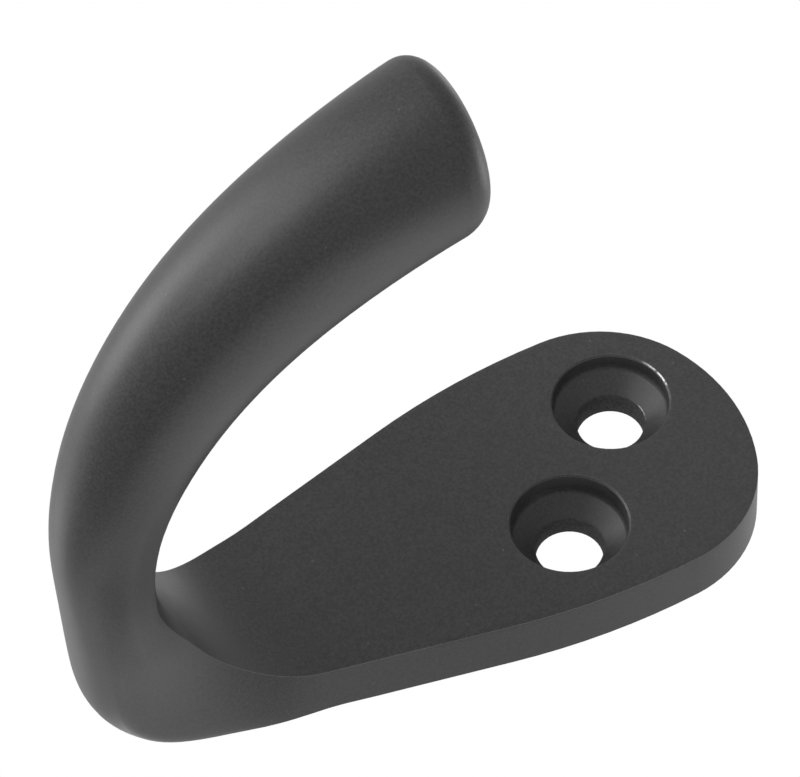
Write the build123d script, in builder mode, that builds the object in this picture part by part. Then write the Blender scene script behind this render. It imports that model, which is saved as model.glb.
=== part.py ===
# Single robe hook: one casting, a teardrop wall plate whose narrow end turns out into a round arm.
# Millimetres.  +Z is up the wall, +X is to the right seen from the room, the back of the plate lies on Y = 0
# and the hook stands out toward -Y.  The origin is midway between the two screw holes, on the back face.
import os
from math import acos, cos, pi, radians, sin, sqrt, tan

from build123d import *

# Wall plate: three arcs down each side, then a straight taper into the neck
plate_thick = 4.1
crown_top = 11.3
crown_r = 13.7
crown_angle = 23.3
corner_r = 9.05
corner_angle = 64.4
flank_r = 52.9
flank_angle = 15.1
neck_drop = 23.9
neck_run = 6.5
back_stock = 0.25

# Screw holes, on a diagonal across the wide end
hole_spacing = 11.0
hole_angle = 135.0
screw_dia = 4.7
head_dia = 8.2
upper_recess = 1.2
lower_recess = 1.6
sink_angle = 108.0
seat_round = 0.5
rim_break = 0.12

# Bend from plate to arm: inside curve, heel, and the turn by which each face has become round
bend_r = 10.0
heel_r = 4.9
heel_angle = 3.8
neck_bow_ratio = -0.2
side_round_angle = 67.5
back_round_angle = 50.0
dome_start_angle = 62.4
flank_flat_angle = 40.0
foot_round_ratio = 0.4

# Arm: oval where it leaves the bend, round above, thickening to a level end with a rounded rim
root_thick = 6.3
root_width = 8.1
root_rise = 1.5
round_run = 6.0
tip_dia = 12.15
arm_bow_ratio = 0.48
arm_r = 28.1
arm_angle = 61.9
reach_r = 45.1
tip_drop = 10.0
tip_round = 2.1
tip_lean_ratio = 0.4

# Where the casting is sliced: share of the neck still to run, turn round the bend, share of the arm done.
# Two slices close together at either end set the way the skin sets off and the way it stops.
neck_slices = (1, 0.92, 0.66, 0.33, 0)
bend_slices = (12, 24, 34, 43, 52, 62, 75, 90)
arm_slices = (0.12, 0.28, 0.46, 0.65, 0.83, 0.97, 1)

# Places that follow from the sizes above, as heights up the wall and distances out from it
pivot_z = -neck_drop
pivot_n = plate_thick + bend_r
inner_z = pivot_z - bend_r
outer_z = inner_z - root_thick
root_z = (inner_z + outer_z) / 2
rim_z = -tip_drop - tip_round


def ease(t):
    """Smooth step from 0 to 1."""
    t = min(max(t, 0.0), 1.0)
    return t * t * (3 - 2 * t)


def bow(start, end, rise):
    """Ends and handles of a curve that bulges from its chord by this much, an arc where the bulge allows."""
    half = (end - start) / 2
    along = half * (2 / 3 * (1 - (rise.length / half.length) ** 2))
    return start, start + along + rise * 4 / 3, end - along + rise * 4 / 3, end


def casting_section(mid_z, mid_n, heading, half_w, half_h, side=0.0, inside=0.0, outside=0.0, swell=1.0):
    """One slice across the neck or arm, facing along its run (0 runs down the wall, 90 degrees straight out).

    side, inside and outside say how far each face has gone from flat (0) to the full round (1), where the
    four faces meet in line as one ellipse.  swell says how far the sides bulge over their whole height (1) and
    not only by the foot (0).  The slice is drawn two units square, then stretched to its size.
    """
    cut = 1 - sqrt(0.5)
    across = 1 - cut * side
    top = 1 - cut * inside
    bottom = cut * outside - 1
    foot, foot_handle, edge_handle, edge = bow(Vector(across, bottom), Vector(across, top), Vector(1 - across, 0))
    near_side = [
        foot,
        foot + (foot_handle - foot) * (foot_round_ratio + (1 - foot_round_ratio) * swell),
        Vector(across + (edge_handle.X - across) * swell, edge_handle.Y),
        edge,
    ]
    faces = [
        near_side,
        bow(Vector(across, top), Vector(-across, top), Vector(0, 1 - top)),
        [Vector(-p.X, p.Y) for p in reversed(near_side)],
        bow(Vector(-across, bottom), Vector(across, bottom), Vector(0, -1 - bottom)),
    ]
    plane = Plane((0, -mid_n, mid_z), x_dir=(1, 0, 0), z_dir=(0, -sin(heading), -cos(heading)))
    loop = [
        Bezier(*[(p.X * half_w, p.Y * half_h) for p in points], mode=Mode.PRIVATE)
        for points in faces
    ]
    return plane * Face(Wire(loop))


def heel_reach(turn):
    """Distance from the pivot of the bend to its outside: flat back, rounded heel, then the leaning arm."""
    lean = tan(radians(heel_angle))
    centre_z = outer_z + (pivot_n - heel_r) * lean + heel_r / cos(radians(heel_angle))
    to_back = (pivot_n + back_stock) / max(cos(turn), 1e-6)
    to_arm = (pivot_z - outer_z) / (sin(turn) + cos(turn) * lean)
    if pivot_z - to_back * sin(turn) > centre_z:
        return to_back
    if pivot_n - to_arm * cos(turn) > heel_r * (1 - sin(radians(heel_angle))):
        return to_arm
    run = (pivot_z - centre_z) * sin(turn) + (pivot_n - heel_r) * cos(turn)
    miss = (pivot_z - centre_z) * cos(turn) - (pivot_n - heel_r) * sin(turn)
    return run + sqrt(heel_r**2 - miss**2)


def arm_place(turn):
    """Middle of the arm where it has turned by this much from straight out, and how far along that is."""
    first = min(turn, radians(arm_angle))
    z = root_z + arm_r * (1 - cos(first)) + reach_r * (cos(first) - cos(turn))
    n = pivot_n + root_rise + arm_r * sin(first) + reach_r * (sin(turn) - sin(first))
    return z, n, root_rise + arm_r * first + reach_r * (turn - first)


# Turn of the arm at which its middle reaches the start of the rounded end
tip_turn = acos(cos(radians(arm_angle)) - (rim_z - arm_place(radians(arm_angle))[0]) / reach_r)
arm_run = arm_place(tip_turn)[2]

with BuildPart() as hook:
    # Teardrop plate, cast with a little stock on its back
    with BuildSketch(Plane.XZ.offset(-back_stock)):
        with BuildLine():
            crown = JernArc((0, crown_top), (1, 0), crown_r, -crown_angle)
            corner = JernArc(crown @ 1, crown % 1, corner_r, -corner_angle)
            flank = JernArc(corner @ 1, corner % 1, flank_r, -flank_angle)
            side = PolarLine(
                flank @ 1,
                (flank @ 1).Y + neck_drop - neck_run,
                direction=flank % 1,
                length_mode=LengthMode.VERTICAL,
            )
            Line(side @ 1, (0, neck_run - neck_drop))
            mirror(about=Plane.YZ)
        make_face()
    extrude(amount=plate_thick + back_stock)

    # Neck and arm as one skin: slices run down the neck, fan round the bend, then follow the arm
    slices = []
    taper = (side % 1).X / (side % 1).Y
    neck_half = (side @ 1).X - neck_run * taper
    for part_left in neck_slices:
        left = neck_run * part_left
        slices.append(
            casting_section(
                left - neck_drop,
                (plate_thick - back_stock) / 2,
                0,
                neck_half + left * taper,
                (plate_thick + back_stock) / 2,
            )
        )
    for bend_angle in bend_slices:
        turn = radians(bend_angle)
        share = bend_angle / 90
        reach = heel_reach(turn)
        middle = (reach + bend_r) / 2
        slices.append(
            casting_section(
                pivot_z - middle * sin(turn),
                pivot_n - middle * cos(turn),
                turn,
                neck_half + (root_width / 2 - neck_half) * share * (1 + neck_bow_ratio * (1 - share)),
                (reach - bend_r) / 2,
                side=ease(turn / radians(side_round_angle)),
                inside=ease((turn - radians(dome_start_angle)) / radians(90 - dome_start_angle)),
                outside=ease(turn / radians(back_round_angle)),
                swell=ease((bend_angle - flank_flat_angle) / (90 - flank_flat_angle)),
            )
        )
    for share in arm_slices:
        lead = (pi / 2 - tip_turn) * share
        z, n, run = arm_place(tip_turn * share)
        grown = run / arm_run * (1 + arm_bow_ratio * (1 - run / arm_run))
        half_h = (root_thick + (tip_dia - root_thick) * grown) / 2
        half_w = half_h * (1 + (root_width / root_thick - 1) * (1 - ease(run / round_run)))
        heading = pi / 2 + tip_turn * share + lead
        slices.append(casting_section(z, n, heading, half_w, half_h / cos(lead), side=1, inside=1, outside=1))
    loft(slices)

    # Rounded rim and flat top, carried on in the arm's direction
    end_face = slices[-1]
    cap = [end_face]
    for step in range(1, 6):
        roll = step * pi / 10
        rise = tip_round * sin(roll)
        inset = tip_round * (1 - cos(roll))
        small = end_face.scale(1 - 2 * inset / tip_dia)
        lift = end_face.center() + Vector(0, tip_lean_ratio * inset - rise / tan(tip_turn), rise)
        cap.append(Pos(*(lift - small.center())) * small)
    loft(cap)

    # Two screw holes, each sunk below the face with a straight wall that rounds into the cone
    for half, recess in ((hole_spacing / 2, upper_recess), (-hole_spacing / 2, lower_recess)):
        across = half * cos(radians(hole_angle))
        up = half * sin(radians(hole_angle))
        with Locations(Plane((across, recess - plate_thick, up), x_dir=(1, 0, 0), z_dir=(0, -1, 0))):
            CounterSinkHole(screw_dia / 2, head_dia / 2, 2 * plate_thick, sink_angle)
        rim, seat, throat, _ = hook.edges(Select.LAST).filter_by(GeomType.CIRCLE).group_by(Axis.Y)
        fillet(seat, seat_round)
        chamfer(rim + throat, rim_break)

    # Back ground flat to the wall
    split(bisect_by=Plane.XZ, keep=Keep.TOP)

hook.part.label = "hook"
os.makedirs("parts", exist_ok=True)
export_step(hook.part, "parts/hook.step")
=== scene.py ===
# %% [markdown]
# # A cast robe hook in a dark satin coat
#
# The hook is one casting: a teardrop plate that lies on the wall, with a thick round arm that sweeps out of
# its narrow end.  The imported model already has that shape, so nothing is modelled again here.  This lesson
# gives the casting its finish, and sets up the camera, the light and the floor around it.

# %% Load the casting
import math

import bpy
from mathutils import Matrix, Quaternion, Vector


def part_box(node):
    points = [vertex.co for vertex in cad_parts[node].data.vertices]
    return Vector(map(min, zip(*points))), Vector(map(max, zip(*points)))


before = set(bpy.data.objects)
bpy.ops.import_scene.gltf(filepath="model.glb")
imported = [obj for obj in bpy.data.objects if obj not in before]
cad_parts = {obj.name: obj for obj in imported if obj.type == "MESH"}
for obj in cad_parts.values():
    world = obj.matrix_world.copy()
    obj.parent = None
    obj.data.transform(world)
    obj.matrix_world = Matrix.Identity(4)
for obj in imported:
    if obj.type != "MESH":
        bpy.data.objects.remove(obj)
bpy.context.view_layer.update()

mm_per_metre = 1000.0
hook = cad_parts["hook"]
hook_low, hook_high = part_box("hook")
hook_middle = (hook_low + hook_high) / 2
scene = bpy.context.scene
hook_size = [round(side * mm_per_metre, 1) for side in hook_high - hook_low]
print("hook", len(hook.data.polygons), "faces,", hook_size, "mm")

# %% [markdown]
# ## Shader maths as Python
#
# A finish is mostly arithmetic on patterns: this noise times that mask, one minus the result.  Wiring Math
# nodes by hand hides the sum, so a small class wraps an output socket and turns +, -, * and / into Math
# nodes.  Every other node comes from one method, which sets the node's own settings first and its sockets
# after.


# %% A socket that can be calculated with
class Value:
    """One output socket of a node tree, as a number that varies over the surface."""

    def __init__(self, finish, socket):
        self.finish = finish
        self.socket = socket

    def math(self, operation, first, second):
        return self.finish.node("Math", {"operation": operation}, {0: first, 1: second})

    def __add__(self, other):
        return self.math("ADD", self, other)

    def __sub__(self, other):
        return self.math("SUBTRACT", self, other)

    def __rsub__(self, other):
        return self.math("SUBTRACT", other, self)

    def __mul__(self, other):
        return self.math("MULTIPLY", self, other)

    def __truediv__(self, other):
        return self.math("DIVIDE", self, other)

    def __rtruediv__(self, other):
        return self.math("DIVIDE", other, self)

    def __abs__(self):
        return self.math("ABSOLUTE", self, 0.0)

    __radd__ = __add__
    __rmul__ = __mul__


# %% A node tree that is filled by one method
class Finish:
    """A node tree, the one method that adds a node to it, and short forms of that method."""

    def __init__(self, tree):
        self.tree = tree
        tree.nodes.clear()

    def node(self, kind, settings=None, sockets=None, output=0):
        made = self.tree.nodes.new("ShaderNode" + kind)
        for name, setting in (settings or {}).items():
            setattr(made, name, setting)
        for name, value in (sockets or {}).items():
            if isinstance(value, Value):
                self.tree.links.new(value.socket, made.inputs[name])
            else:
                made.inputs[name].default_value = value
        return Value(self, made.outputs[output]) if made.outputs else None

    def vector(self, operation, first, second=(0.0, 0.0, 0.0), output=0):
        return self.node("VectorMath", {"operation": operation}, {0: first, 1: second}, output)

    def scaled(self, vector, factor):
        return self.node("VectorMath", {"operation": "SCALE"}, {0: vector, "Scale": factor})

    def step(self, value, low, high, start=0.0, end=1.0):
        """Smooth step that is start at low and end at high."""
        limits = {"Value": value, "From Min": low, "From Max": high, "To Min": start, "To Max": end}
        return self.node("MapRange", {"interpolation_type": "SMOOTHSTEP"}, limits)

    def noise(self, place, scale, detail):
        return self.node("TexNoise", {}, {"Vector": place, "Scale": scale, "Detail": detail})

    def grey(self, tone):
        return self.node("CombineColor", {}, {"Red": tone, "Green": tone, "Blue": tone})


# %% [markdown]
# ## Where things are on the hook
#
# The finish is worn and shaded in places, so the shader first needs to know where it is.  A painted mask
# would need the hook unwrapped flat.  Instead the shader measures in millimetres in the hook's own frame: the
# distance from the axis of each screw hole, the distance from the axis that the arm bends round, the height,
# and the place out from the wall.  Out counts down, from 0 at the wall to about -50 at the front of the arm.
# Any mark set out with these stays in its place when the hook is turned.

# %% Measure from the holes and the bend
hole_spacing = 11.0
hole_offset = hole_spacing / 2 * math.sqrt(0.5)
far_hole = (-hole_offset, 0.0, hole_offset)
near_hole = (hole_offset, 0.0, -hole_offset)
bend_axis = (0.0, -14.1, -23.9)

coat = bpy.data.materials.new("dark_coat")
coat.use_nodes = True
finish = Finish(coat.node_tree)
place_mm = finish.scaled(finish.node("TexCoord", output="Object"), mm_per_metre)
out, up = [finish.node("SeparateXYZ", {}, {0: place_mm}, axis) for axis in "YZ"]
true_normal = finish.node("NewGeometry", output="Normal")
sideways = abs(finish.node("SeparateXYZ", {}, {0: true_normal}, "X"))
on_wall = finish.vector("MULTIPLY", place_mm, (1.0, 0.0, 1.0))
from_far = finish.vector("SUBTRACT", on_wall, far_hole)
far_r = finish.vector("LENGTH", from_far, output="Value")
near_r = finish.vector("DISTANCE", on_wall, near_hole, "Value")
to_axis = finish.vector("MULTIPLY", finish.vector("SUBTRACT", bend_axis, place_mm), (0.0, 1.0, 1.0))
bend_r = finish.vector("LENGTH", to_axis, output="Value")
print("holes", round(hole_offset, 2), "mm up and across from the middle, on one diagonal")

# %% [markdown]
# ## The coat
#
# The real hook wears a thin baked coat, nearly black.  What the eye reads as grey is mostly gloss: a white
# surround mirrored at under four percent face on and far more at a grazing angle.  So the base colour stays
# very dark and the roughness does the work.  A fine noise breaks the coat up as its grain does, and a few
# grains of dust sit in it: points of a cell pattern, too small to see unless they fall on the surface.
# Toward the wide end of the plate the colour is painted a little paler, as painted light.  Painted light also
# makes it paler on the sides of the arm and of the heel below the bend, up to the crest where the plate's
# edge runs into the arm.

# %% Colour and gloss
grain_range = (0.25, 0.75)
coat_tones = (0.001, 0.015)
mean_roughness = 0.48
grain = finish.noise(place_mm, 5.0, 3.0)
cloud = finish.noise(place_mm, 0.35, 2.0)
cell = finish.node("TexVoronoi", {}, {"Vector": place_mm, "Scale": 0.6}, "Distance")
dust = finish.step(cell, 0.06, 0.03)
# Painted light: the colour is painted paler toward the wide end of the plate.
painted_wide_end_light = finish.step(up, -14.0, 10.0) * finish.step(out, -6.0, -4.5)
on_arm = finish.step(out, -24.0, -34.0) * finish.step(out, -47.0, -43.0)
on_heel = finish.step(up, -27.0, -34.0) * finish.step(out, -18.0, -12.0)
by_crest = finish.step(bend_r, 14.0, 12.0)
# Painted light: the sides of the arm and heel, where the normal faces across, are painted paler.
painted_side_light = (on_arm + on_heel) * finish.step(sideways + 0.22 * by_crest, 0.75, 1.0)
pigment = finish.step(grain, *grain_range, *coat_tones)
# Grain, cloud and dust are the coat's own colour; the wide-end and side terms are painted light.
tone = pigment + 0.003 * cloud + 0.03 * dust + 0.010 * painted_wide_end_light + 0.033 * painted_side_light
coat_roughness = mean_roughness + 0.08 * (grain - 0.5) + 0.06 * (cloud - 0.5)
print("coat tone", *coat_tones, "by grain, roughness about", mean_roughness)

# %% [markdown]
# ## Bare metal at the far hole
#
# The coat has come off the sharp edges of the far hole, as if a screw head had been driven against them.  A
# thread of silver metal shows on the rim and again where the cone meets the throat.  Such marks could be
# painted, but a formula stays sharp close up: each chip is a narrow ring about the hole's axis, kept to one
# sector and broken up by noise.


# %% Chips
def chip(edge, toward, spread):
    """Ring along an edge of the far hole, on the side that the angle points to."""
    radius, depth = edge
    angle = math.radians(toward)
    pointer = (math.cos(angle), 0.0, math.sin(angle))
    side = finish.vector("DOT_PRODUCT", from_far, pointer, "Value") / far_r
    ring = finish.step(abs(far_r - radius), 0.08, 0.03) * finish.step(abs(out - depth), 0.2, 0.1)
    sector = finish.step(side, math.cos(math.radians(spread)), math.cos(math.radians(spread / 2)))
    return ring * sector


rim = (4.2, -4.08)
throat_edge = (2.46, -1.6)
metal_tone = 0.34
metal_roughness = 0.35
chips = chip(rim, 98.0, 22.0) + chip(throat_edge, 82.0, 20.0) + 0.25 * chip(throat_edge, 108.0, 30.0)
flake = finish.noise(place_mm, 2.2, 2.0)
bare = chips * finish.step(flake, 0.32, 0.56)
tone = tone * (1.0 - bare) + metal_tone * bare
roughness = coat_roughness * (1.0 - bare) + metal_roughness * bare
print("chips at", rim[0], "and", throat_edge[0], "mm from the far hole's axis")

# %% [markdown]
# ## Painted edge highlights
#
# The plate's front edge and the rims of the holes are sharp and catch a thin highlight, so a fine pale line
# is painted there in the colour: a painted highlight.  The edges could be picked out on the mesh, but the
# shader can find them by itself.  A Bevel node rounds the normal within a tenth of a millimetre of an edge.
# Where that rounded normal parts from the true one there is an edge, so the difference makes the mask.

# %% Edge lines
edge_highlight_width = 0.00009
bevel_quality = {"samples": 6}
round_normal = finish.node("Bevel", bevel_quality, {"Radius": edge_highlight_width})
agree = finish.vector("DOT_PRODUCT", true_normal, round_normal, "Value")
# Painted highlight: a pale line in the colour along the sharp edges.
painted_edge_highlight = finish.step(agree, 0.98, 0.85) * finish.step(out, -3.6, -3.9) * finish.step(out, -9.0, -6.0)
tone = tone + 0.08 * painted_edge_highlight
colour = finish.grey(tone)
print("edge lines", round(edge_highlight_width * mm_per_metre, 2), "mm to each side of an edge")

# %% [markdown]
# ## The two sides of the bend
#
# Round the outside of the bend the back of the hook rolls over into its side with no edge left, so a wider
# Bevel node carries the shading across.  On the inside the casting does the reverse: its side runs flat right
# up to a crisp edge before the arm turns round, so there the shading drops the part of its normal that leans
# in to the bend.  Both are small enough to leave to the shading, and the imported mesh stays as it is.

# %% Shading normal
soft_width = 0.0008
grain_height = 0.00004
soft_normal = finish.node("Bevel", bevel_quality, {"Radius": soft_width})
outside = finish.step(bend_r, 11.5, 13.0) * finish.step(out, -22.0, -18.0) * finish.step(out, -3.4, -5.5)
normal = finish.node("Mix", {"data_type": "VECTOR"}, {0: outside, 4: true_normal, 5: soft_normal}, 1)
inward = finish.vector("NORMALIZE", to_axis)
lean = finish.vector("DOT_PRODUCT", normal, inward, "Value")
flank = finish.step(sideways, 0.42, 0.6) * finish.step(out, -30.0, -21.0) * finish.step(up, -26.0, -29.0)
drop = finish.scaled(inward, finish.step(lean, 0.0, 0.2) * lean * flank)
normal = finish.vector("NORMALIZE", finish.vector("SUBTRACT", normal, drop))
grain_relief = {"Height": grain, "Strength": 0.08, "Distance": grain_height}
bump = finish.node("Bump", {}, {"Normal": normal, **grain_relief})
print("bend rounded within", round(soft_width * mm_per_metre, 1), "mm of its edges")

# %% [markdown]
# ## Put the finish on
#
# The coat hardly reaches into the throats of the holes, and they look dull, as an undercoat would: paler than
# the coat, but with no gloss to mirror the white surround.  One shader can't be both, so a second one takes
# over within a set distance of each hole's axis.

# %% Coat the casting
coat_ior = 1.46
primer_tones = (0.04, 0.065)
throat_reach = (2.6, 2.4)
in_throat = finish.step(far_r, *throat_reach) + finish.step(near_r, *throat_reach)
primer = finish.grey(finish.step(grain, *grain_range, *primer_tones))
shared = {"Metallic": bare, "Roughness": roughness, "Normal": bump}
satin = finish.node("BsdfPrincipled", {}, {"Base Color": colour, "IOR": coat_ior, **shared})
dull = finish.node("BsdfPrincipled", {}, {"Base Color": primer, "Specular IOR Level": 0.0, **shared})
surface = finish.node("MixShader", {}, {0: in_throat, 1: satin, 2: dull})
finish.node("OutputMaterial", {}, {"Surface": surface})
hook.data.materials.clear()
hook.data.materials.append(coat)
print("coat", len(coat.node_tree.nodes), "nodes")

# %% [markdown]
# ## Camera
#
# The photograph was taken with a long lens from low on the hook's right, with the camera rolled far over, so
# the wall runs down the picture.  The aim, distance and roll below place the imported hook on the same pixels.

# %% Place the camera
camera_place = Vector((0.22735, -0.34402, -0.13264))
camera_aim = Vector((-0.01157, -0.00501, -0.00860))
camera_roll = math.radians(65.90)
camera_data = bpy.data.cameras.new("camera")
camera_data.sensor_width = 36.0
camera_data.lens = 279.76
camera = bpy.data.objects.new("camera", camera_data)
camera.location = camera_place
look = (camera_aim - camera_place).normalized()
camera.rotation_mode = "QUATERNION"
camera.rotation_quaternion = Quaternion(look, -camera_roll) @ look.to_track_quat("-Z", "Y")
scene.collection.objects.link(camera)
scene.camera = camera
print("camera", round((camera_aim - camera_place).length * mm_per_metre), "mm away")

# %% [markdown]
# ## Floor
#
# The picture shows the hook alone on white, well clear of any ground.  A pale sheet lies far enough below it
# to leave room for the low lamps.  It takes the hook's soft shadow in the middle and fades to plain white
# further out, so that it meets the surround without a line.

# %% Lay the floor
floor_drop = 0.26
floor_half = 4.0
floor_z = camera_place.z - floor_drop
corner_signs = [(-1, -1), (1, -1), (1, 1), (-1, 1)]
floor_corners = [(x * floor_half, y * floor_half, floor_z) for x, y in corner_signs]
floor_mesh = bpy.data.meshes.new("floor")
floor_mesh.from_pydata(floor_corners, [], [(0, 1, 2, 3)])
floor = bpy.data.objects.new("floor", floor_mesh)
scene.collection.objects.link(floor)
print("floor", round((hook_low.z - floor_z) * mm_per_metre), "mm below the hook")

# %% Pale paper
fade_start, fade_end = 0.2, 0.9
paper = bpy.data.materials.new("pale_paper")
paper.use_nodes = True
finish = Finish(paper.node_tree)
far_out = finish.vector("LENGTH", finish.node("NewGeometry", output="Position"), output="Value")
sheet = finish.node("BsdfDiffuse", {}, {"Color": (0.85, 0.85, 0.85, 1.0)})
glow = finish.node("Emission", {}, {"Strength": 1.0})
fade = finish.node("MixShader", {}, {0: finish.step(far_out, fade_start, fade_end), 1: sheet, 2: glow})
finish.node("OutputMaterial", {}, {"Surface": fade})
floor_mesh.materials.append(paper)
print("paper fades to white from", fade_start, "to", fade_end, "m out")

# %% [markdown]
# ## Surround
#
# A white tent stands round the hook.  The camera and the gloss see it plain white, and the diffuse light that
# it sheds is turned down, so the white of the background doesn't decide how brightly the coat is lit.

# %% Hang the white surround
room_strength = 0.6
world = bpy.data.worlds.new("surround")
world.use_nodes = True
scene.world = world
finish = Finish(world.node_tree)
seen = finish.node("LightPath", output="Is Camera Ray")
mirrored = finish.node("LightPath", output="Is Glossy Ray")
through = finish.node("LightPath", output="Is Transmission Ray")
room = finish.node("Background", {}, {"Color": (0.9, 0.9, 0.9, 1.0), "Strength": room_strength})
white = finish.node("Background", {}, {"Color": (1.0, 1.0, 1.0, 1.0), "Strength": 1.0})
tent = finish.node("MixShader", {}, {0: seen + mirrored + through, 1: room, 2: white})
finish.node("OutputWorld", {}, {"Surface": tent})
scene.view_settings.view_transform = "Standard"
print("surround white to the camera and the gloss,", room_strength, "of that as diffuse light")

# %% [markdown]
# ## Lamps
#
# A coat this dark shows mostly what it mirrors, so the lamps are large, soft and many rather than strong.  A
# ring of low softboxes, from the front round to the back, gives the arm its bright band.  Others behind and
# beside the hook light the sides that turn away from that ring, and two overhead light what faces up.  None
# stands straight behind the hook as the camera sees it: a lamp there draws a hard white fringe on the
# outline.


# %% Softboxes
def softbox(name, toward, power, distance=0.4, size=0.15):
    """Square lamp in that direction from the hook, facing it."""
    data = bpy.data.lights.new(name, "AREA")
    data.shape = "SQUARE"
    data.size = size
    data.energy = power
    lamp = bpy.data.objects.new(name, data)
    direction = Vector(toward).normalized()
    lamp.location = hook_middle + direction * distance
    lamp.rotation_mode = "QUATERNION"
    lamp.rotation_quaternion = (-direction).to_track_quat("-Z", "Y")
    scene.collection.objects.link(lamp)
    return lamp


lamps = [
    softbox("low left", (-0.67, -0.43, -0.61), 0.53),
    softbox("left", (-0.89, -0.20, -0.42), 0.12),
    softbox("low front", (-0.36, -0.79, -0.49), 0.31),
    softbox("low right", (-0.06, -0.73, -0.68), 0.50),
    softbox("low back", (-0.69, -0.01, -0.73), 0.57),
    softbox("low behind", (-0.47, 0.60, -0.65), 0.18),
    softbox("behind", (0.04, 0.96, -0.27), 0.28),
    softbox("side behind", (0.85, 0.44, 0.30), 0.12),
    softbox("side", (0.86, 0.12, 0.49), 0.12),
    softbox("above", (0.24, 0.32, 0.92), 0.45),
    softbox("top", (-0.59, 0.24, 0.77), 0.15),
]
print("lamps", len(lamps), "with", round(sum(lamp.data.energy for lamp in lamps), 2), "W in all")
